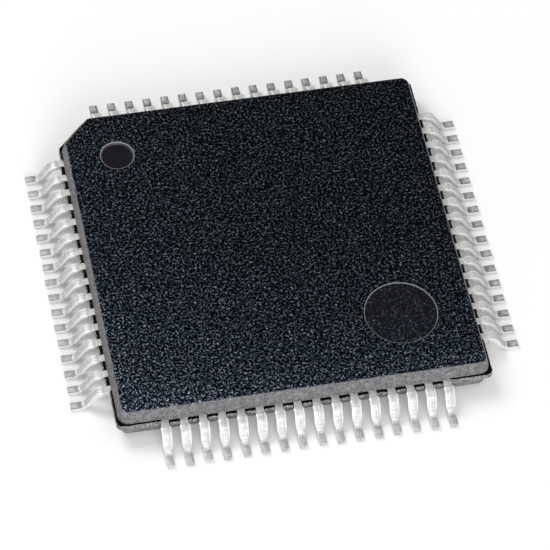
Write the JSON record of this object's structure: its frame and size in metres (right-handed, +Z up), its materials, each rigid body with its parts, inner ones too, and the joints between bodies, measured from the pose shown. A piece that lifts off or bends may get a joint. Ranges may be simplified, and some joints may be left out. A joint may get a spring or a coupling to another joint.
{
  "type": "quad flat pack chip",
  "caption": "Square thin black surface-mount chip package with rows of gull-wing leads on all four sides, an index dimple and one chamfered corner.",
  "frame": {"origin": "centre of the lead feet on the seating plane", "axes": "+Z up from the board, chamfered index corner at -X +Y"},
  "size_m": [0.012, 0.012, 0.0011],
  "materials": {
    "mould_compound": "fine pebbled moulding compound",
    "tin_plating": "matte tin plating",
    "frame_copper": "bare copper alloy",
    "silver_epoxy": "silver-filled adhesive",
    "silicon": "polished silicon",
    "gold_wire": "bright gold"
  },
  "bodies": {
    "root": {"moulded_body": "mould_compound", "leads_01_04": "tin_plating", "leads_05_08": "tin_plating", "leads_09_12": "tin_plating", "leads_13_16": "tin_plating", "leads_17_20": "tin_plating", "leads_21_24": "tin_plating", "leads_25_28": "tin_plating", "leads_29_32": "tin_plating", "leads_33_36": "tin_plating", "leads_37_40": "tin_plating", "leads_41_44": "tin_plating", "leads_45_48": "tin_plating", "leads_49_52": "tin_plating", "leads_53_56": "tin_plating", "leads_57_60": "tin_plating", "leads_61_64": "tin_plating", "die_pad": "frame_copper", "die_attach": "silver_epoxy", "silicon_die": "silicon", "bond_wires_01_04": "gold_wire", "bond_wires_05_08": "gold_wire", "bond_wires_09_12": "gold_wire", "bond_wires_13_16": "gold_wire", "bond_wires_17_20": "gold_wire", "bond_wires_21_24": "gold_wire", "bond_wires_25_28": "gold_wire", "bond_wires_29_32": "gold_wire", "bond_wires_33_36": "gold_wire", "bond_wires_37_40": "gold_wire", "bond_wires_41_44": "gold_wire", "bond_wires_45_48": "gold_wire", "bond_wires_49_52": "gold_wire", "bond_wires_53_56": "gold_wire", "bond_wires_57_60": "gold_wire", "bond_wires_61_64": "gold_wire"}
  },
  "joints": []
}
